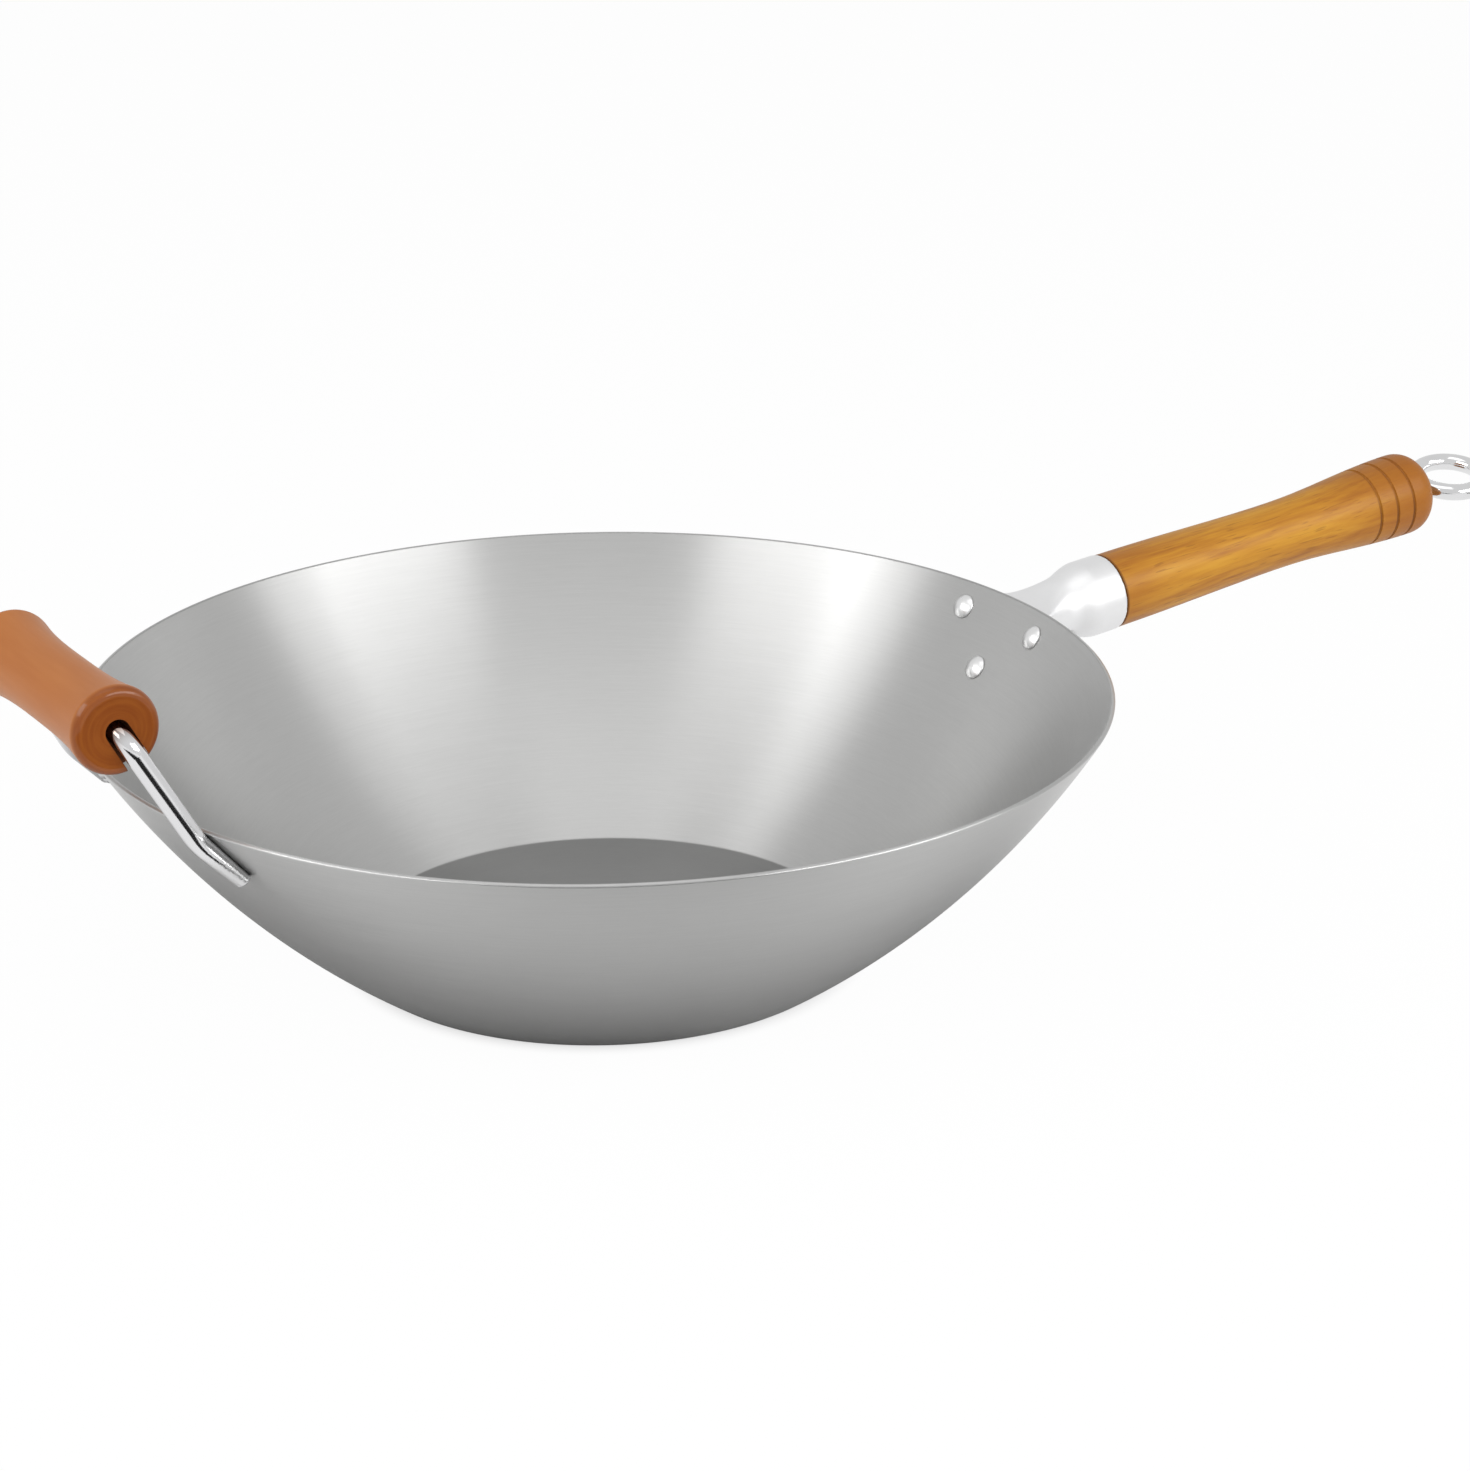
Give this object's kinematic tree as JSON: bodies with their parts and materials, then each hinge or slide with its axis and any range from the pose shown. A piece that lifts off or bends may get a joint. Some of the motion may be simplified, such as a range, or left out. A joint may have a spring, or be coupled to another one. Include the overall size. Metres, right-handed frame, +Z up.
{
  "type": "wok",
  "caption": "Flat-bottomed carbon steel wok with a riveted bracket, a turned wooden long handle with a hanging loop, and a wooden helper handle on a welded bail.",
  "frame": {"origin": "centre of the flat base, on its underside", "axes": "+Z up out of the bowl, +X along the long handle, helper handle on -X"},
  "size_m": [0.6067, 0.3496, 0.1432],
  "materials": {
    "carbon_steel": "fine brushed satin, bare",
    "bracket_alloy": "satin, bright",
    "rivet_alloy": "bright",
    "bar_chrome": "polished plating",
    "eye_chrome": "polished plating",
    "nut_steel": "zinc plated",
    "handle_wood": "golden brown lacquer",
    "helper_wood": "red brown satin lacquer"
  },
  "bodies": {
    "wok": {"wok_bowl": "carbon_steel", "handle_bracket": "bracket_alloy", "bracket_rivets": "rivet_alloy", "ferrule_nut": "nut_steel", "handle_grip": "handle_wood", "helper_bail": "bar_chrome", "helper_grip": "helper_wood"},
    "loop": {"hanging_loop": "eye_chrome"}
  },
  "joints": [
    {"name": "loop_turn", "type": "hinge", "parent": "wok", "child": "loop", "pos_m": [0.2162, 0, 0.0882], "axis": [0.9949, 0, 0.1011], "range_deg": [0, 180]}
  ]
}
